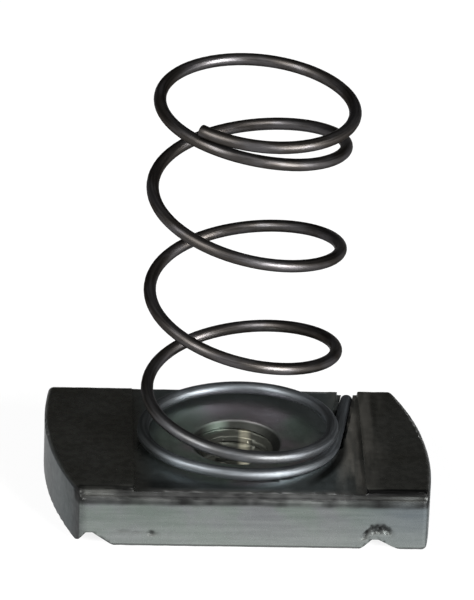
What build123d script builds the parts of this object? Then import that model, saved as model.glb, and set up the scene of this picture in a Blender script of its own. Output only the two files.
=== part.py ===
from build123d import *
from math import atan2, cos, degrees, pi, radians, sin, sqrt
import os

# Strut spring nut: a steel nut plate with two toothed lip grooves underneath and a tapped hole
# through its middle, and a left-hand coil spring that is held in a seat on its top face.
# Frame: the origin is the middle of the underside, X runs along the plate from groove to groove,
# Y runs along the grooves and +Z points up through the spring. All lengths are in millimetres.

# ---- nut plate ----
plate_reach = 17.43        # middle of the plate to its two far corners, along X
left_set_in = 2.95         # how much nearer the front corner on the left is
right_set_in = 2.45        # and the back corner on the right
plate_width = 20.0
plate_thickness = 5.9
end_radius = 34.5          # bow of each end
corner_radius = 0.55       # upright corners
top_edge_radius = 0.5
bottom_edge_radius = 0.45
front_roll_radius = 1.05   # the front edge on top is rolled over where the plate was sheared off

# ---- lip grooves underneath, with teeth across them ----
groove_offset = 13.15      # middle of the plate to the middle of each groove
groove_mouth = 3.9
groove_roof = 0.6
roof_shift = 0.45          # both roofs lean this much to the left of their mouths
left_groove_depth = 1.5    # down to the tips of the teeth
right_groove_depth = 1.15
tooth_pitch = 1.6
tooth_gap = 1.2            # mouth of the notch between two teeth
tooth_height = 0.5

# ---- tapped hole ----
thread_major_diameter = 7.94
thread_minor_diameter = 6.6
countersink_margin = 0.3   # how far the countersink is wider than the thread

# ---- spring seat on the top face ----
seat_depth = 0.25
seat_left = 9.58           # middle of the plate to the left wall of the seat
slot_depth = 0.6           # slot for the tail of the spring, below the top face
slot_margin = 0.35         # tail of the wire to each wall of its slot

# ---- coil spring ----
wire_diameter = 1.15
wire_clearance = 0.06      # all round the wire in its groove
coil_radius = 8.53         # middle of the wire, on the open turns
coil_shift = 0.25          # axis of the coil from the middle of the plate, along X
coil_set_back = 0.1        # and along Y
coil_oval = 0.3            # how far the long way across a turn stands out, and the short way in
oval_angle = -36.0         # degrees from X to the long way across
ring_radius_x = 8.95       # the lowest turn is pressed oval to grip its seat
ring_radius_y = 7.75
ring_shift = 0.7           # and sits this much nearer the back
top_radius = 8.69
top_shift = 0.6            # the top turn leans out by this much
top_tilt = 0.64            # and its highest side is this much above its middle
tilt_angle = 130.0         # degrees from X to that side
top_gap = 0.06             # wire to wire, from the top turn to the one below
tail_angle = 8.0           # degrees before the widest point where the tail leaves the ring
tail_inset = 0.35          # cut end of the tail to the back of the plate
ring_lift = 0.2            # the front of the lowest turn stands this clear of its seat

tail_pitch = 2.6           # rise per turn at the bend of the tail, where the wire lies lowest
dip_pitch = 3.9
closed_pitch = 0.3
open_pitch = 10.53

dip_turns = 0.22
settle_turns = 0.1
closed_turns = 0.18
lower_ramp_turns = 1.22
open_turns = 2.45
upper_ramp_turns = 0.18
top_turns = 0.985
top_lead_turns = 0.3       # how long before its pitch closes the coil starts to lean and tilt
top_blend_turns = 0.56     # and how long that takes

wire_flats = 8
points_per_turn = 12
tail_points = 3
bend_step = 0.001          # turns over which the line of the wire at its bend is taken

# ---- worked out from the above ----
wire_radius = wire_diameter / 2
top_pitch = wire_diameter + top_gap
seat_floor = plate_thickness - seat_depth
back = plate_width / 2
overcut = 1.0              # how far a cutter runs past the face that it opens
stages = (                 # turns, and the pitch that they end with
    (dip_turns, dip_pitch),
    (settle_turns, closed_pitch),
    (closed_turns, closed_pitch),
    (lower_ramp_turns, open_pitch),
    (open_turns, open_pitch),
    (upper_ramp_turns, top_pitch),
    (top_turns, top_pitch),
)
total_turns = sum(turns for turns, pitch in stages)
round_starts = dip_turns + settle_turns
round_ends = round_starts + closed_turns + lower_ramp_turns / 2
top_starts = total_turns - top_turns - upper_ramp_turns - top_lead_turns
top_ends = top_starts + top_blend_turns


def ease(position, start, end):
    """0 before start, 1 after end, and smooth between them."""
    share = min(max((position - start) / (end - start), 0.0), 1.0)
    return share * share * (3 - 2 * share)


def rise(turn):
    """Height of the wire above the point where the tail is bent, with the pitch easing by stage."""
    height = 0.0
    pitch = tail_pitch
    for turns, end_pitch in stages:
        part = min(max(turn, 0.0), turns)
        reached = pitch + (end_pitch - pitch) * part / turns
        height += part * (pitch + reached) / 2
        pitch = end_pitch
        turn -= turns
    return height


bend_height = seat_floor + wire_radius + ring_lift - rise(round_starts)


def coil_point(turn):
    """Middle of the wire, for turns counted upwards from the bend of the tail, left-handed."""
    angle = -radians(tail_angle) - 2 * pi * turn
    rounded = ease(turn, round_starts, round_ends)
    topped = ease(turn, top_starts, top_ends)
    oval = coil_oval * cos(2 * (angle - radians(oval_angle)))
    radius = coil_radius + (top_radius - coil_radius) * topped + oval
    radius_x = ring_radius_x + (radius - ring_radius_x) * rounded
    radius_y = ring_radius_y + (radius - ring_radius_y) * rounded
    return Vector(
        coil_shift + top_shift * topped + radius_x * cos(angle),
        ring_shift + (coil_set_back - ring_shift) * rounded + radius_y * sin(angle),
        bend_height + rise(turn) + top_tilt * topped * cos(angle - radians(tilt_angle)),
    )


def tail_point(y):
    """Middle of the straight tail, which carries on the line of the wire at its bend."""
    bend = coil_point(0)
    along = bend - coil_point(bend_step)
    return bend + along * ((y - bend.Y) / along.Y)


def wire_path(tail_end, turns):
    """Straight tail from the given place along Y, then the coil up to the given turn."""
    bend = coil_point(0)
    tail = [tail_point(tail_end + (bend.Y - tail_end) * i / tail_points) for i in range(tail_points)]
    count = round(turns * points_per_turn)
    return Spline(tail + [coil_point(turns * i / count) for i in range(count + 1)])


def wire_along(path, radius):
    """Round wire drawn with flats along it, of the same section area, which keeps its facets few."""
    span = 2 * pi / wire_flats
    corner = radius * sqrt(span / sin(span))
    section = Plane(origin=path @ 0, z_dir=path % 0) * RegularPolygon(corner, wire_flats)
    return sweep(section, path=path)


def coil_spring():
    return wire_along(wire_path(back - tail_inset, total_turns), wire_radius)


def plate_blank():
    far_front = (plate_reach, -back)
    near_back = (plate_reach - right_set_in, back)
    far_back = (-plate_reach, back)
    near_front = (left_set_in - plate_reach, -back)
    outline = Wire([
        Line(near_front, far_front),
        RadiusArc(far_front, near_back, -end_radius),
        Line(near_back, far_back),
        RadiusArc(far_back, near_front, -end_radius),
    ])
    blank = extrude(Face(outline), plate_thickness)
    blank = fillet(blank.edges().filter_by(Axis.Z), corner_radius)
    blank = fillet(blank.edges().group_by(Axis.Z)[-1], top_edge_radius)
    blank = fillet(blank.edges().group_by(Axis.Z)[0], bottom_edge_radius)
    return blank - front_roll()


def front_roll():
    """What is missing outside the rolled front edge."""
    size = front_roll_radius + overcut
    middle = (front_roll_radius - back, plate_thickness - front_roll_radius)
    corner = Pos(middle[0] - size / 2, middle[1] + size / 2) * Rectangle(size, size)
    profile = Plane.YZ * (corner - Pos(*middle) * Circle(front_roll_radius))
    return extrude(profile, plate_reach + overcut, both=True)


def lip_groove(depth):
    """One groove along Y with notches across its roof, which leave the teeth standing."""
    mouth = groove_mouth / 2
    roof = groove_roof / 2
    profile = Polyline(
        (-mouth, -overcut), (mouth, -overcut), (mouth, 0),
        (roof - roof_shift, depth), (-roof - roof_shift, depth), (-mouth, 0), close=True)
    run = Plane.XZ.offset(-back - overcut) * make_face(profile)
    groove = extrude(run, plate_width + 2 * overcut)
    notch_profile = Polyline(
        (-tooth_gap / 2, 0), (tooth_gap / 2, 0), (0, tooth_height), close=True)
    notch = extrude(Plane.YZ.offset(-roof_shift) * make_face(notch_profile), roof, both=True)
    count = int(plate_width / tooth_pitch)
    notches = [
        Pos(0, (i - (count - 1) / 2) * tooth_pitch, depth) * notch
        for i in range(count)
    ]
    return groove + notches


def tapped_hole():
    """Bore at the crests of the thread, with a countersink at each end."""
    crest = thread_minor_diameter / 2
    rim = thread_major_diameter / 2 + countersink_margin
    sink = rim - crest
    half = Polyline(
        (0, -overcut), (rim + overcut, -overcut), (crest, sink),
        (crest, seat_floor - sink), (rim + overcut, seat_floor + overcut),
        (0, seat_floor + overcut), close=True)
    return revolve(Plane.XZ * make_face(half), Axis.Z)


def spring_seat():
    """Shallow channel across the plate, the slot for the tail and the groove for the wire."""
    slot_width = wire_diameter + 2 * slot_margin
    seat_right = tail_point(back).X + slot_width / 2
    cut_length = plate_width + 2 * overcut
    channel = Pos((seat_right - seat_left) / 2, 0, seat_floor + overcut / 2) * Box(
        seat_left + seat_right, cut_length, overcut)
    bend = coil_point(0)
    mouth = tail_point(back + overcut + slot_width)
    lean = degrees(atan2(mouth.Y - bend.Y, mouth.X - bend.X))
    outline = SlotCenterToCenter((mouth - bend).length, slot_width)
    middle = (bend + mouth) / 2
    slot = extrude(
        Pos(middle.X, middle.Y, plate_thickness - slot_depth) * Rot(0, 0, lean) * outline, overcut)
    wire_groove = wire_along(
        wire_path(back + overcut, round_starts + closed_turns), wire_radius + wire_clearance)
    return channel + slot + wire_groove


def nut_plate():
    plate = plate_blank() - tapped_hole() - spring_seat()
    plate -= Pos(-groove_offset, 0, 0) * lip_groove(left_groove_depth)
    return plate - Pos(groove_offset, 0, 0) * lip_groove(right_groove_depth)


os.makedirs("parts", exist_ok=True)
export_step(nut_plate(), "parts/nut_plate.step")
export_step(coil_spring(), "parts/coil_spring.step")
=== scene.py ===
from math import cos, pi, radians, sin

import bmesh
import bpy
from mathutils import Matrix, Vector, noise


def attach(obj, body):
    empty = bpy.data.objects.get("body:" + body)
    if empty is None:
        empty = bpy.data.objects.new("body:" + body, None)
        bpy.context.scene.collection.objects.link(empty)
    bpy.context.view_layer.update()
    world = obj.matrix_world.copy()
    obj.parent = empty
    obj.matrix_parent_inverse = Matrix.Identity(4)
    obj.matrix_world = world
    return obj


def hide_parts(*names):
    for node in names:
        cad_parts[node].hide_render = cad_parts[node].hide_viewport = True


# Strut spring nut: a zinc-plated nut plate and the dark coil spring that stands on it.
# Sizes are in millimetres and angles in degrees, and MM turns a size into the frame's metres.

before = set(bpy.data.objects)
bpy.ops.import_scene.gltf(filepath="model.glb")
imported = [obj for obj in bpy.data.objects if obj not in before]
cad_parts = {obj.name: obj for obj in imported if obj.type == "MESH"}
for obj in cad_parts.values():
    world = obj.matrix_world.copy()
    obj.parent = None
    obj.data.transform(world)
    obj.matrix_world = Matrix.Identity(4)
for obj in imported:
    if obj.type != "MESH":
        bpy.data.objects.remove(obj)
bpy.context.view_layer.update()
bpy.context.scene.view_settings.view_transform = "Standard"

MM = 0.001


# ---- scene helpers ----
def put_in_scene(name, data):
    thing = bpy.data.objects.new(name, data)
    bpy.context.scene.collection.objects.link(thing)
    return thing


def mesh_from(name, bm):
    mesh = bpy.data.meshes.new(name)
    bm.to_mesh(mesh)
    bm.free()
    return mesh


# ---- camera ----
CAMERA_TARGET = (-0.373, 0.0, 20.582)
CAMERA_DISTANCE = 493.35
CAMERA_ELEVATION, CAMERA_YAW, CAMERA_ROLL = 27.891, -2.528, 2.111
CAMERA_LENS, CAMERA_SENSOR = 322.6, 36.0


def place_camera():
    elevation, yaw, roll = radians(CAMERA_ELEVATION), radians(CAMERA_YAW), radians(CAMERA_ROLL)
    away = Vector((sin(yaw) * cos(elevation), -cos(yaw) * cos(elevation), sin(elevation)))
    level = Vector((cos(yaw), sin(yaw), 0.0))
    upright = level.cross(-away)
    right = level * cos(roll) + upright * sin(roll)
    up = upright * cos(roll) - level * sin(roll)
    data = bpy.data.cameras.new("camera")
    data.lens = CAMERA_LENS
    data.sensor_width = CAMERA_SENSOR
    data.clip_start = 0.01
    data.clip_end = 100.0
    camera = put_in_scene("camera", data)
    stand = (Vector(CAMERA_TARGET) + away * CAMERA_DISTANCE) * MM
    camera.matrix_world = Matrix.Translation(stand) @ Matrix((right, up, away)).transposed().to_4x4()
    bpy.context.scene.camera = camera


place_camera()


# ---- node helpers ----
def add_node(tree, kind, links=None, **settings):
    """Adds one node. links holds sockets to join or values to set, by input name or number."""
    node = tree.nodes.new(kind)
    for name, value in settings.items():
        setattr(node, name, value)
    for name, value in (links or {}).items():
        if isinstance(value, bpy.types.NodeSocket):
            tree.links.new(value, node.inputs[name])
        else:
            node.inputs[name].default_value = value
    return node


def grey(value):
    return (value, value, value, 1.0)


def calc(tree, operation, *values):
    return add_node(tree, "ShaderNodeMath", dict(enumerate(values)), operation=operation).outputs[0]


def multiply(tree, *masks):
    product = masks[0]
    for mask in masks[1:]:
        product = calc(tree, "MULTIPLY", product, mask)
    return product


def between(tree, mask, low, high):
    """low where the mask is 0 and high where it is 1."""
    return add_node(tree, "ShaderNodeMapRange", {"Value": mask, "To Min": low, "To Max": high}).outputs[0]


def fade(tree, value, start, end):
    """A mask that is 0 where the value is start and 1 where it is end."""
    limits = {"Value": value, "From Min": start, "From Max": end}
    return add_node(tree, "ShaderNodeMapRange", limits).outputs[0]


def tinted(tree, mask, plain, full):
    """One colour where the mask is 0 and the other where it is 1."""
    plain, full = ((*colour, 1.0) if isinstance(colour, tuple) else colour for colour in (plain, full))
    mix = add_node(tree, "ShaderNodeMix", {"Factor": mask, "A": plain, "B": full}, data_type="RGBA")
    return mix.outputs["Result"]


def stretched(tree, place, scale):
    return add_node(tree, "ShaderNodeMapping", {"Vector": place, "Scale": scale}).outputs[0]


def new_material(name):
    material = bpy.data.materials.new(name)
    material.use_nodes = True
    tree = material.node_tree
    tree.nodes.clear()
    shader = add_node(tree, "ShaderNodeBsdfPrincipled")
    add_node(tree, "ShaderNodeOutputMaterial", {"Surface": shader.outputs["BSDF"]})
    return material, tree, shader


def grain_group():
    """Noise spread between two limits, from 0 to 1."""
    tree = bpy.data.node_groups.new("grain", "ShaderNodeTree")
    face = tree.interface
    face.new_socket("Place", in_out="INPUT", socket_type="NodeSocketVector")
    for name, value in (("Scale", 1.0), ("Detail", 3.0), ("Low", 0.4), ("High", 0.6)):
        face.new_socket(name, in_out="INPUT", socket_type="NodeSocketFloat").default_value = value
    face.new_socket("Mask", in_out="OUTPUT", socket_type="NodeSocketFloat")
    given = add_node(tree, "NodeGroupInput").outputs
    speckle = add_node(tree, "ShaderNodeTexNoise", {
        "Vector": given["Place"], "Scale": given["Scale"], "Detail": given["Detail"]})
    mask = add_node(tree, "ShaderNodeMapRange", {
        "Value": speckle.outputs[0], "From Min": given["Low"], "From Max": given["High"]},
        interpolation_type="SMOOTHSTEP")
    add_node(tree, "NodeGroupOutput", {"Mask": mask.outputs[0]})
    return tree


GRAIN = grain_group()


def grain(tree, place, scale, detail, low, high):
    node = add_node(tree, "ShaderNodeGroup", node_tree=GRAIN)
    tree.links.new(place, node.inputs["Place"])
    for name, value in (("Scale", scale), ("Detail", detail), ("Low", low), ("High", high)):
        node.inputs[name].default_value = value
    return node.outputs["Mask"]


# ---- floor, world and lamps ----
FLOOR_SIZE = 12000.0
FLOOR_GLOW = 0.85
# height of a direction, from level at 0 to straight up at 1, and how pale the studio is there
STUDIO_SHADES = ((0.0, 0.25), (0.08, 0.1), (0.3, 0.03), (0.76, 0.04), (0.93, 0.22), (1.0, 0.32))
# name, azimuth, elevation, distance, width, height and watts
LAMPS = (
    ("right_strip", -50, 14, 1200, 400, 900, 64),
    ("left_strip", -140, 34, 1200, 300, 700, 22),
)


def floor_material():
    """White floor that keeps the shadows and glows only for camera, mirror and glass rays."""
    material, tree, shader = new_material("floor_white")
    shader.inputs["Base Color"].default_value = grey(0.9)
    shader.inputs["Roughness"].default_value = 0.8
    path = add_node(tree, "ShaderNodeLightPath").outputs
    seen = calc(tree, "MAXIMUM", path["Is Camera Ray"], path["Is Glossy Ray"])
    seen = calc(tree, "MAXIMUM", seen, path["Is Transmission Ray"])
    glow = add_node(tree, "ShaderNodeEmission", {"Color": grey(1.0), "Strength": 1.0})
    mix = add_node(tree, "ShaderNodeMixShader", {
        0: multiply(tree, seen, FLOOR_GLOW), 1: shader.outputs["BSDF"], 2: glow.outputs[0]})
    tree.links.new(mix.outputs[0], tree.get_output_node("ALL").inputs["Surface"])
    return material


def studio_floor():
    bm = bmesh.new()
    bmesh.ops.create_grid(bm, x_segments=1, y_segments=1, size=FLOOR_SIZE * MM)
    floor = put_in_scene("floor", mesh_from("floor", bm))
    floor.data.materials.append(floor_material())


def studio_world():
    """Pale low down, dark walls at the height that the plate mirrors, and a pale ceiling."""
    world = bpy.data.worlds.new("studio")
    world.use_nodes = True
    tree = world.node_tree
    tree.nodes.clear()
    direction = add_node(tree, "ShaderNodeTexCoord").outputs["Generated"]
    height = add_node(tree, "ShaderNodeSeparateXYZ", {0: direction}).outputs["Z"]
    shades = add_node(tree, "ShaderNodeValToRGB", {"Fac": height})
    elements = shades.color_ramp.elements
    while len(elements) < len(STUDIO_SHADES):
        elements.new(0.5)
    for element, (position, shade) in zip(elements, STUDIO_SHADES):
        element.position = position
        element.color = grey(shade)
    back = add_node(tree, "ShaderNodeBackground", {"Color": shades.outputs["Color"], "Strength": 1.0})
    add_node(tree, "ShaderNodeOutputWorld", {"Surface": back.outputs[0]})
    bpy.context.scene.world = world


def softbox(name, azimuth, elevation, distance, width, height, watts):
    data = bpy.data.lights.new(name, "AREA")
    data.shape = "RECTANGLE"
    data.size = width * MM
    data.size_y = height * MM
    data.energy = watts
    around, up = radians(azimuth), radians(elevation)
    stand = Vector((cos(around) * cos(up), sin(around) * cos(up), sin(up))) * distance * MM
    lamp = put_in_scene(name, data)
    lamp.matrix_world = Matrix.Translation(stand) @ stand.to_track_quat("Z", "Y").to_matrix().to_4x4()


studio_floor()
studio_world()
for lamp_values in LAMPS:
    softbox(*lamp_values)


# ---- spring ----
WIRE_RADIUS = 0.575
WIRE_SIDES, STEPS_PER_TURN = 20, 72
CUT_BEVEL = 0.08
COIL_RADIUS, COIL_SHIFT, COIL_SET_BACK = 8.53, 0.25, 0.1
COIL_OVAL, OVAL_ANGLE = 0.3, -36.0
RING_X, RING_Y, RING_SHIFT = 8.95, 7.75, 0.7
TOP_RADIUS, TOP_SHIFT, TOP_TILT, TILT_ANGLE = 8.69, 0.6, 0.64, 130.0
TAIL_ANGLE, TAIL_INSET, TAIL_PITCH, TAIL_STEPS = 8.0, 0.35, 2.6, 8
PLATE_BACK = 10.0
SEAT_FLOOR, RING_LIFT = 5.65, 0.19
# how many turns each stage takes, and the pitch at its end
STAGES = (
    (0.22, 3.9),     # rises from the bend of the tail
    (0.1, 0.3),      # levels out
    (0.18, 0.3),     # lies in the seat
    (1.22, 10.53),   # opens
    (2.45, 10.53),   # open turns
    (0.18, 1.21),    # closes
    (0.985, 1.21),   # top turn
)
TURNS = sum(turns for turns, pitch in STAGES)
# turns between which the pressed ring becomes a round coil, and the coil the top turn
ROUND_STARTS, ROUND_ENDS = 0.32, 1.11
TOP_STARTS, TOP_ENDS = 3.87, 4.43


def ease(position, start, end):
    """0 up to start, 1 from end on, and smooth in between."""
    share = min(max((position - start) / (end - start), 0.0), 1.0)
    return share * share * (3 - 2 * share)


def rise(turn):
    """Height above the bend of the tail, with the pitch easing by stage."""
    height, pitch = 0.0, TAIL_PITCH
    for turns, end_pitch in STAGES:
        part = min(max(turn, 0.0), turns)
        height += part * (2 * pitch + (end_pitch - pitch) * part / turns) / 2
        pitch = end_pitch
        turn -= turns
    return height


def coil_point(turn):
    """Middle of the wire after so many turns from the bend of the tail."""
    angle = -radians(TAIL_ANGLE) - 2 * pi * turn
    rounded = ease(turn, ROUND_STARTS, ROUND_ENDS)
    topped = ease(turn, TOP_STARTS, TOP_ENDS)
    radius = COIL_RADIUS + (TOP_RADIUS - COIL_RADIUS) * topped
    radius += COIL_OVAL * cos(2 * (angle - radians(OVAL_ANGLE)))
    reach_x = RING_X + (radius - RING_X) * rounded
    reach_y = RING_Y + (radius - RING_Y) * rounded
    bend_height = SEAT_FLOOR + WIRE_RADIUS + RING_LIFT - rise(ROUND_STARTS)
    return Vector((
        COIL_SHIFT + TOP_SHIFT * topped + reach_x * cos(angle),
        RING_SHIFT + (COIL_SET_BACK - RING_SHIFT) * rounded + reach_y * sin(angle),
        bend_height + rise(turn) + TOP_TILT * topped * cos(angle - radians(TILT_ANGLE))))


def wire_line():
    """Points along the middle of the wire, from the cut end of the tail to the cut end on top."""
    bend = coil_point(0)
    along = bend - coil_point(0.001)
    tail_end = bend + along * ((PLATE_BACK - TAIL_INSET - bend.y) / along.y)
    tail = [tail_end.lerp(bend, i / TAIL_STEPS) for i in range(TAIL_STEPS)]
    count = round(TURNS * STEPS_PER_TURN)
    return tail + [coil_point(TURNS * i / count) for i in range(count + 1)]


def frames_along(line):
    """A frame at each point of the line, with its Z along the wire."""
    frames = []
    for i, point in enumerate(line):
        ahead = line[min(i + 1, len(line) - 1)] - line[max(i - 1, 0)]
        across = Vector((0, 0, 1)).cross(ahead).normalized()
        up = ahead.cross(across).normalized()
        turn = Matrix((across, up, ahead.normalized())).transposed().to_4x4()
        frames.append(Matrix.Translation(point * MM) @ turn)
    return frames


def spring_mesh():
    """Round wire: a disc whose rim is extruded and moved on from point to point.

    The attribute named drawn holds the place around the wire and the length along it."""
    frames = frames_along(wire_line())
    bm = bmesh.new()
    radius = WIRE_RADIUS * MM
    bmesh.ops.create_circle(bm, cap_ends=True, segments=WIRE_SIDES, radius=radius, matrix=frames[0])
    drawn = bm.verts.layers.float_vector.new("drawn")
    for vert in bm.verts:
        around = frames[0].inverted() @ vert.co / radius
        vert[drawn] = (around.x, around.y, 0)
    rim = list(bm.edges)
    length = 0.0
    for before, after in zip(frames, frames[1:]):
        grown = bmesh.ops.extrude_edge_only(bm, edges=rim)["geom"]
        verts = [e for e in grown if isinstance(e, bmesh.types.BMVert)]
        bmesh.ops.transform(bm, matrix=after @ before.inverted(), verts=verts)
        length += (after.translation - before.translation).length / MM
        for vert in verts:
            vert[drawn].z = length
        rim = [e for e in grown if isinstance(e, bmesh.types.BMEdge) and all(v in verts for v in e.verts)]
    bmesh.ops.contextual_create(bm, geom=rim)
    bmesh.ops.recalc_face_normals(bm, faces=bm.faces)
    cut_edges = [e for face in bm.faces if len(face.verts) == WIRE_SIDES for e in face.edges]
    bmesh.ops.bevel(bm, geom=cut_edges, affect="EDGES", offset=CUT_BEVEL * MM,
                    segments=2, profile=0.5, material=-1)
    for face in bm.faces:
        face.smooth = True
    return mesh_from("spring", bm)


def spring_material():
    """Dark oiled wire, with painted light on the lower turns and painted shade on their left side. Its drawn
    lines run along the wire.
    """
    material, tree, shader = new_material("black_wire")
    drawn = add_node(tree, "ShaderNodeAttribute", attribute_name="drawn").outputs["Vector"]
    length = add_node(tree, "ShaderNodeSeparateXYZ", {0: drawn}).outputs["Z"]
    place = add_node(tree, "ShaderNodeTexCoord").outputs["Object"]
    x = add_node(tree, "ShaderNodeSeparateXYZ", {0: place}).outputs["X"]
    lines = grain(tree, stretched(tree, drawn, (2.2, 2.2, 0.12)), 1.6, 4.0, 0.35, 0.7)
    blotch = grain(tree, stretched(tree, drawn, (0.5, 0.5, 0.3)), 1.0, 3.0, 0.4, 0.65)
    # the lower turns get painted light, and their left side painted shade
    low_down = fade(tree, length, 95.0, 55.0)
    painted_shade_left = fade(tree, x, -5.5 * MM, -8.0 * MM)
    dark = tinted(tree, blotch, (0.042, 0.038, 0.035), (0.07, 0.067, 0.069))
    painted_light_low = tinted(tree, blotch, (0.095, 0.102, 0.108), (0.125, 0.137, 0.148))
    painted_light_low = tinted(tree, painted_shade_left, painted_light_low, (0.05, 0.054, 0.055))
    tree.links.new(tinted(tree, low_down, dark, painted_light_low), shader.inputs["Base Color"])
    roughness = calc(tree, "MULTIPLY_ADD", low_down, 0.1, between(tree, lines, 0.36, 0.48))
    tree.links.new(roughness, shader.inputs["Roughness"])
    shader.inputs["Metallic"].default_value = 1.0
    shader.inputs["Specular Tint"].default_value = grey(0.35)
    bump = add_node(tree, "ShaderNodeBump", {"Strength": 0.25, "Distance": 0.02 * MM, "Height": lines})
    tree.links.new(bump.outputs[0], shader.inputs["Normal"])
    return material


spring = put_in_scene("spring", spring_mesh())
spring.data.materials.append(spring_material())
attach(spring, "root")
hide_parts("coil_spring")


# ---- thread of the nut plate ----
THREAD_PITCH = 25.4 / 18
THREAD_MAJOR, THREAD_BORE = 3.97, 3.3     # radii at the root and at the crest
THREAD_START, THREAD_TURNS, THREAD_STEPS = -1.2, 6, 48
CUTTER_OVERLAP = 0.25
FLANK_SLOPE = 0.577


def thread_cutter():
    """Helical ridge whose outside is the root of the thread."""
    depth = THREAD_MAJOR - THREAD_BORE + CUTTER_OVERLAP
    root = THREAD_PITCH / 16
    foot = root + depth * FLANK_SLOPE
    inner = THREAD_MAJOR - depth
    corners = [(THREAD_MAJOR, -root), (THREAD_MAJOR, root), (inner, foot), (inner, -foot)]
    bm = bmesh.new()
    profile = bm.faces.new([bm.verts.new(Vector((x, 0, z + THREAD_START)) * MM) for x, z in corners])
    bmesh.ops.spin(bm, geom=[profile], cent=(0, 0, 0), axis=(0, 0, 1), angle=2 * pi * THREAD_TURNS,
                   dvec=Vector((0, 0, THREAD_PITCH * MM / THREAD_STEPS)), steps=THREAD_STEPS * THREAD_TURNS,
                   use_merge=False, use_duplicate=False)
    bmesh.ops.recalc_face_normals(bm, faces=bm.faces)
    return mesh_from("thread_cutter", bm)


def threaded(plate):
    """The plate's mesh with the thread cut in its bore."""
    cutter = put_in_scene("thread_cutter", thread_cutter())
    cut = plate.modifiers.new("thread", "BOOLEAN")
    cut.operation = "DIFFERENCE"
    cut.solver = "EXACT"
    cut.object = cutter
    mesh = bpy.data.meshes.new_from_object(plate.evaluated_get(bpy.context.evaluated_depsgraph_get()))
    plate.modifiers.clear()
    bpy.data.objects.remove(cutter)
    return mesh


# ---- wear and painted shade of the nut plate ----
PLATE_TOP = 5.9
LEDGE_HEIGHT = 5.27
SEAT_MIDDLE, SEAT_HALF = 1.07, 10.65
TORN_X, TORN_Z = 12.9, 2.35
CLEAN_X = 6.8     # where the painted dark line of the roll is palest
# how dark the painted shade is on the outer edges, and at the corners of the roll
EDGE_PAINTED_SHADE, CORNER_PAINTED_SHADE = 0.6, 0.93
# x, and how much painted shade darkens the roll there, over its highlights
ROLL_PAINTED_SHADES = (
    (-14.0, 0.6), (-12.4, 0.6), (-11.0, 0.93), (-8.0, 0.94), (-5.5, 0.95), (-2.5, 0.96), (0.0, 0.97),
    (3.5, 0.93), (5.5, 0.93), (7.0, 0.92), (8.2, 0.93), (10.0, 0.95), (12.4, 0.96), (13.8, 0.93),
    (15.4, 0.8), (17.0, 0.85),
)
# x, z, half width, half height and depth of each pit in the front
PITS = (
    (-7.9, 1.55, 0.58, 0.42, 0.08),
    (-10.4, 1.75, 0.95, 0.25, 0.03),
    (-9.2, 1.65, 0.8, 0.16, 0.025),
)
# left, right, bottom and top of the parts of the front that need more points
TORN_AREA = (TORN_X - 2.3, TORN_X + 2.3, 0.0, 3.1)
PITTED_AREA = (-12.2, -7.5, 0.8, 2.2)


def waves(place, length, shift=0.0):
    """Smooth noise from -1 to 1 with about the given length, always the same at one place."""
    return noise.noise(Vector((place[0] / length + shift, place[1] / length, place[2] / length)))


def ledge_height(x):
    """Height of the wavy line where the roll of the front edge starts."""
    return LEDGE_HEIGHT + 0.07 * waves((x, 3.3, 0.5), 2.6) + 0.05 * waves((x, 7.7, 0.5), 0.7)


def level_between(marks, x):
    """Straight lines between (x, level) marks."""
    for (before, low), (after, high) in zip(marks, marks[1:]):
        if x < after:
            return low + (high - low) * max(x - before, 0) / (after - before)
    return marks[-1][1]


def skin_wear(place, normal):
    """How deep the skin is worn and the painted shade on it, with more of both on the outer edges."""
    depth = 0.012 * (1 + waves(place, 3.2)) + 0.004 * (1 + waves(place, 0.9, 5.0))
    slanting = 0.12 < abs(normal.z) < 0.97
    on_end = abs(place.x) > 13.5
    if not slanting or not (on_end or abs(place.y) > 9.2):
        return depth, 0.0
    depth += 0.03 * max(waves(place, 0.8, 11.0) + 0.2, 0.0) + 0.02 * max(waves(place, 0.35, 3.0), 0.0)
    # painted shade over glints on the edges of the ends, and under the front edge
    under_front = normal.z < 0 and place.y < -9.5
    return depth, EDGE_PAINTED_SHADE if on_end or under_front else 0.0


def land_drop(x, y, z):
    """How far the lands sag towards the front, beside the walls of the seat."""
    from_wall = abs(abs(x - SEAT_MIDDLE) - SEAT_HALF)
    return 0.25 * ease(z, 5.7, 5.85) * ease(-y, 8.6, 9.4) * (1 - ease(from_wall, 0.2, 2.6))


def roll_depth(x, z):
    """The sheared front edge leans in below a wavy ledge and is rumpled above it."""
    ledge = ledge_height(x)
    above = ease(z, ledge - 0.03, ledge + 0.05) * (1 - ease(z, 5.55, 5.88))
    rumple = 0.5 + 0.5 * waves((x * 1.3, 2.0, z * 3), 1.1) + 0.3 * waves((x, 9.0, z * 2), 0.4)
    return 0.06 * ease(z, 4.4, ledge) + (0.05 + 0.05 * max(rumple, 0)) * above


def roll_painted_shade(x, z):
    """Painted shade: a dark line along the ledge, darkening over the highlights of the roll, and dark
    corners.
    """
    ledge = ledge_height(x)
    line = ease(z, ledge - 1.0, ledge - 0.6) * (1 - ease(z, ledge + 0.02, ledge + 0.25))
    line *= 0.88 + 0.25 * waves((x, 4.0, 1.0), 1.7) + 0.12 * waves((x, 4.0, 3.0), 0.6)
    line *= 1 - 0.35 * (1 - ease(abs(x - CLEAN_X), 0.6, 1.5))
    roll_shade = level_between(ROLL_PAINTED_SHADES, x)
    roll_shade += 0.05 * waves((x, 0.0, 4.0 + z * 1.5), 0.9) + 0.05 * waves((x, 6.0, z * 2), 0.45)
    roll_shade *= ease(z, ledge - 0.3, ledge - 0.12)
    # painted shade high on the roll at the right, and at the front of the land at the left
    upper = max(ease(x, 8.0, 11.0) * ease(z, 5.3, 5.6), 0.8 * ease(-x, 9.2, 9.8) * ease(z, 5.55, 5.75))
    # painted shade over the glints at the corners
    corners = CORNER_PAINTED_SHADE * ease(z, 4.4, 4.8) * (ease(x, 16.3, 16.8) + ease(-x, 13.75, 14.1))
    return max(min(max(line, roll_shade, upper), 1), corners)


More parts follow.
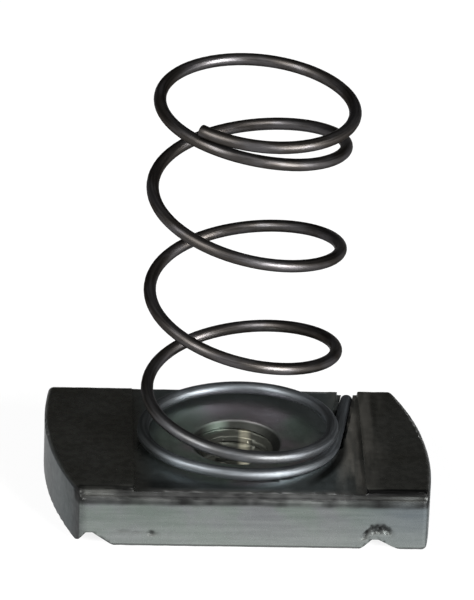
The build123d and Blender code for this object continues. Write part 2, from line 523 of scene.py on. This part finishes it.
def pitted(place, x, z, painted_shade):
    """Sinks a point of the front into the pits, which get painted shade."""
    for pit_x, pit_z, half_width, half_height, depth in PITS:
        away = (((x - pit_x) / half_width) ** 2 + ((z - pit_z) / half_height) ** 2) ** 0.5
        away += 0.3 * waves(place, 0.3)
        place.y += depth * (1 - ease(away, 0.2, 1.0))
        painted_shade = max(painted_shade, min(depth * 11, 0.85) * (1 - ease(away, 0.1, 1.1)))
    return place, painted_shade


def torn(x, z):
    """Depth and painted shade where a torn crack arches over the right groove, above folded metal."""
    aside = x - TORN_X
    crack = TORN_Z - (0.45 if aside < 0 else 0.18) * aside ** 2 + 0.2 * waves((x, 1.0, 2.0), 0.45)
    ends = 1 - ease(abs(aside), 1.0, 1.75)
    thick = 0.66 - 0.2 * abs(aside) + 0.25 * waves((x, 5.0, z), 0.5)
    open_crack = 1 - ease(abs(z - crack) / max(thick, 0.15), 0.35, 1.15)
    fold = ease(z, 0.8, crack) * (1 - ease(z, crack, crack + 0.5))
    rough = 0.75 + 0.55 * waves((x, 3.0, z), 0.4) + 0.5 * waves((x, 4.0, z), 0.2)
    specks = ease(waves((x, 8.0, z * 1.2), 0.35) + 0.5 * waves((x, 2.0, z), 0.17), 0.05, 0.4)
    depth = ends * (0.1 * max(open_crack * rough, 0) + 0.08 * fold + 0.05 * specks * fold)
    return depth, ends * min(max(open_crack * (0.5 + 0.5 * rough), 0.9 * specks * fold), 1)


def worn_place(place, normal):
    """Where a point of the skin ends up, and how much painted shade it gets. Wear only takes metal away."""
    x, y, z = place
    depth, painted_shade = skin_wear(place, normal)
    place = place - normal * depth
    if y < -8.4 and normal.z > 0.9:
        place.z -= land_drop(x, y, z)
    if y < -8.9 and z > 4.1 and normal.y < (0.3 if z > 5.7 else -0.08):
        place.y += roll_depth(x, z)
        painted_shade = roll_painted_shade(x, z)
    if y < -9.9:
        place, painted_shade = pitted(place, x, z, painted_shade)
    if y < -9.3 and abs(x - TORN_X) < 2.6 and z < 3.4:
        depth, torn_painted_shade = torn(x, z)
        place.y += depth
        painted_shade = max(painted_shade, torn_painted_shade)
    return place, painted_shade


def wear(bm):
    """Moves every point of the skin and keeps its painted shade in an attribute of that name."""
    painted_shade = bm.verts.layers.float.new("painted_shade")
    bm.normal_update()
    moved = [(vert, *worn_place(vert.co / MM, vert.normal.copy())) for vert in bm.verts]
    for vert, place, shade_here in moved:
        vert.co = place * MM
        vert[painted_shade] = shade_here


# ---- nut plate ----
def merged_plate():
    bm = bmesh.new()
    bm.from_mesh(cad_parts["nut_plate"].data)
    bmesh.ops.remove_doubles(bm, verts=bm.verts, dist=0.001 * MM)
    return mesh_from("plate_blank", bm)


def slice_up(bm, axis, places):
    """Cuts the skin at each place along one axis, so that it has points enough to be worn."""
    normal = Vector((0, 0, 0))
    normal[axis] = 1.0
    for place in places:
        bmesh.ops.bisect_plane(bm, geom=[*bm.verts, *bm.edges, *bm.faces], dist=1e-7,
                               plane_co=normal * place * MM, plane_no=normal)


def steps(start, end, size):
    """Places between start and end, about one size apart."""
    count = round((end - start) / size)
    return [start + (end - start) * i / count for i in range(1, count)]


def split_front(bm, left, right, bottom, top):
    """Gives one part of the front many more points."""
    edges = {}
    for face in bm.faces:
        middle = face.calc_center_median() / MM
        if face.normal.y < -0.9 and left < middle.x < right and bottom < middle.z < top:
            edges.update(dict.fromkeys(face.edges))
    bmesh.ops.subdivide_edges(bm, edges=list(edges), cuts=3, use_grid_fill=True)


def dressed_plate():
    """The plate with its thread cut and its skin worn."""
    plate = put_in_scene("plate", merged_plate())
    bm = bmesh.new()
    bm.from_mesh(threaded(plate))
    bmesh.ops.dissolve_limit(bm, angle_limit=radians(0.4), verts=bm.verts, edges=bm.edges, delimit={"NORMAL"})
    slice_up(bm, 0, steps(-17.4, 17.4, 0.45))
    slice_up(bm, 1, steps(-PLATE_BACK, PLATE_BACK, 0.5))
    slice_up(bm, 2, [*steps(0, 4.2, 0.42), 4.2, *steps(4.2, PLATE_TOP, 0.1)])
    split_front(bm, *TORN_AREA)
    split_front(bm, *PITTED_AREA)
    bmesh.ops.triangulate(bm, faces=[face for face in bm.faces if len(face.verts) > 4])
    wear(bm)
    plate.data = mesh_from("plate", bm)
    plate.data.shade_smooth()
    plate.data.set_sharp_from_angle(angle=radians(38))
    return plate


# ---- finish of the nut plate ----
class PlateSkin:
    """Where a point of the plate lies, which way it faces, and the areas with a finish of their own."""

    def __init__(self, tree):
        self.tree = tree
        self.place = add_node(tree, "ShaderNodeTexCoord").outputs["Object"]
        self.x, self.y, self.z = add_node(tree, "ShaderNodeSeparateXYZ", {0: self.place}).outputs
        flat = add_node(tree, "ShaderNodeVectorMath", {0: self.place, 1: (1, 1, 0)}, operation="MULTIPLY")
        reach = add_node(tree, "ShaderNodeVectorMath", {0: flat.outputs[0]}, operation="LENGTH")
        self.from_axis = reach.outputs["Value"]
        self.from_middle = calc(tree, "ABSOLUTE", self.x)
        normal = add_node(tree, "ShaderNodeNewGeometry").outputs["Normal"]
        facing = add_node(tree, "ShaderNodeSeparateXYZ", {0: normal}).outputs
        self.upward = between(tree, facing["Z"], 0.0, 1.0)
        self.patches = grain(tree, self.place, 120.0, 2.0, 0.4, 0.6)
        self.ends = multiply(tree, fade(tree, calc(tree, "ABSOLUTE", facing["X"]), 0.6, 0.85),
                             self.fade(self.from_middle, 14.2, 14.6))
        from_seat_middle = calc(tree, "ABSOLUTE", calc(tree, "SUBTRACT", self.x, SEAT_MIDDLE * MM))
        self.seat = multiply(
            tree, self.fade(from_seat_middle, 10.6, 8.8), self.fade(self.z, 5.8, 5.7), self.upward)
        self.in_ring = multiply(tree, self.fade(self.from_axis, 8.5, 7.0), self.upward)
        self.in_hole = self.fade(self.from_axis, 4.5, 4.1)
        self.beside_tail = self.streaks_and_painted_light_beside_tail()

    def fade(self, value, start, end):
        """A mask over a distance in millimetres."""
        return fade(self.tree, value, start * MM, end * MM)

    def streaks_and_painted_light_beside_tail(self):
        """Streaks to the right of the tail, which fade towards the front. The land there is painted lighter
        with them, as light on it.
        """
        streaks = grain(self.tree, stretched(self.tree, self.place, (1.0, 0.12, 1.0)), 900.0, 2.0, 0.3, 0.62)
        return multiply(self.tree, self.fade(self.x, 8.5, 10.5), self.fade(self.x, 14.5, 11.5), self.upward,
                        streaks, self.fade(self.y, -10.5, -6.0))


def front_colour(tree, skin):
    """Drawn zinc: cooler to the right, with painted light low down and painted shade at the left corner."""
    broad = grain(tree, skin.place, 260.0, 3.0, 0.38, 0.62)
    colour = tinted(tree, broad, (0.15, 0.176, 0.16), (0.166, 0.174, 0.178))
    colour = tinted(tree, skin.fade(skin.x, 9.0, 15.5), colour, (0.128, 0.148, 0.158))
    # painted light: paler low down
    low = multiply(tree, skin.fade(skin.z, 3.5, 0.0), 0.8)
    colour = tinted(tree, low, colour, (0.235, 0.255, 0.243))
    # painted shade at the left corner
    painted_corner_shade = multiply(tree, skin.fade(skin.x, -13.7, -14.6), skin.fade(skin.y, -5.0, -8.0), 0.75)
    return tinted(tree, painted_corner_shade, colour, (0.06, 0.066, 0.066))


def seated_colour(tree, skin, colour):
    """Adds the seat: cool, with painted shade in front, a pale front strip, streaks and painted light to the
    right of the tail, and a painted shadow beside the ring.
    """
    # painted shade in front of the ring
    painted_front_shade = multiply(tree, skin.fade(skin.y, -6.0, -8.0), skin.fade(skin.x, 4.5, 1.5))
    seat = tinted(tree, painted_front_shade, (0.24, 0.275, 0.275), (0.07, 0.08, 0.08))
    colour = tinted(tree, skin.seat, colour, seat)
    front_strip = multiply(tree, skin.fade(skin.y, -8.6, -9.5), skin.seat)
    colour = tinted(tree, front_strip, colour, (0.42, 0.42, 0.41))
    # streaks and painted light to the right of the tail
    colour = tinted(tree, skin.beside_tail, colour, (0.36, 0.345, 0.31))
    # painted shadow of the ring on the seat
    painted_ring_shadow = multiply(
        tree, skin.fade(skin.from_axis, 9.3, 9.7), skin.fade(skin.from_axis, 10.6, 10.1), skin.seat,
        skin.fade(skin.x, 6.2, 7.8), skin.fade(skin.y, 3.5, 1.0), 0.9)
    colour = tinted(tree, painted_ring_shadow, colour, (0.02, 0.021, 0.018))
    inside = tinted(tree, skin.patches, (0.3, 0.37, 0.32), (0.38, 0.34, 0.36))
    return tinted(tree, skin.in_ring, colour, inside)


def sheared_colour(tree, skin):
    """Sheared steel of the ends, darker close to their front edges, and with painted shade that keeps it dark
    and even at the back.
    """
    colour = tinted(tree, skin.patches, (0.022, 0.029, 0.031), (0.042, 0.052, 0.054))
    colour = tinted(tree, skin.fade(skin.from_middle, 15.4, 14.7), colour, (0.012, 0.014, 0.015))
    # painted shade at the back, where the ends turn away
    return tinted(tree, skin.fade(skin.y, -3.0, 3.0), colour, (0.018, 0.022, 0.024))


def bore_colour(tree, skin):
    """Dark thread with a painted glint down it, and a dark rim with a painted highlight to the left."""
    # painted glint down the thread
    painted_glint_line = multiply(tree, skin.fade(skin.x, 0.3, 0.7), skin.fade(skin.x, 1.6, 1.1))
    bore = tinted(tree, painted_glint_line, (0.06, 0.062, 0.053), (0.28, 0.27, 0.21))
    # painted highlight on the rim, to the left
    painted_rim_highlight = multiply(tree, skin.fade(skin.x, -3.2, -2.0), skin.fade(skin.x, -0.4, -1.4))
    rim = tinted(tree, painted_rim_highlight, (0.028, 0.029, 0.026), (0.1, 0.125, 0.105))
    return tinted(tree, skin.fade(skin.z, 4.6, 4.9), bore, rim)


def plate_material():
    """Bright zinc over sheared steel: smooth on top, drawn along the front, rough on the sheared ends."""
    material, tree, shader = new_material("zinc_plate")
    skin = PlateSkin(tree)
    painted_shade = add_node(tree, "ShaderNodeAttribute", attribute_name="painted_shade").outputs["Fac"]
    fine = grain(tree, skin.place, 1500.0, 4.0, 0.3, 0.7)
    streaks = grain(tree, stretched(tree, skin.place, (0.08, 1.0, 1.0)), 2200.0, 3.0, 0.35, 0.65)
    streaks = multiply(
        tree, streaks, between(tree, skin.upward, 1.0, 0.3), between(tree, skin.ends, 1.0, 0.2))
    land = tinted(tree, skin.patches, (0.19, 0.188, 0.162), (0.24, 0.242, 0.218))
    colour = tinted(tree, skin.upward, front_colour(tree, skin), land)
    colour = seated_colour(tree, skin, colour)
    colour = tinted(tree, skin.ends, colour, sheared_colour(tree, skin))
    colour = tinted(tree, between(tree, streaks, 0.0, 0.1), colour, (0.45, 0.47, 0.46))
    colour = tinted(tree, skin.in_hole, colour, bore_colour(tree, skin))
    # painted shade, nearly black, from the skin's attribute
    colour = tinted(tree, painted_shade, colour, (0.0115, 0.0115, 0.0115))
    tree.links.new(colour, shader.inputs["Base Color"])
    roughness = between(tree, fine, 0.25, 0.3)
    for mask, more in ((skin.ends, 0.2), (skin.seat, 0.06), (skin.in_ring, 0.05), (skin.in_hole, 0.2),
                       (skin.beside_tail, 0.14), (painted_shade, 0.2)):
        roughness = calc(tree, "MULTIPLY_ADD", mask, more, roughness)
    tree.links.new(roughness, shader.inputs["Roughness"])
    shader.inputs["Metallic"].default_value = 1.0
    height = calc(tree, "ADD", fine, streaks)
    bump = add_node(tree, "ShaderNodeBump", {"Strength": 0.2, "Distance": 0.03 * MM, "Height": height})
    tree.links.new(bump.outputs[0], shader.inputs["Normal"])
    return material


plate = dressed_plate()
plate.data.materials.append(plate_material())
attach(plate, "root")
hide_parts("nut_plate")
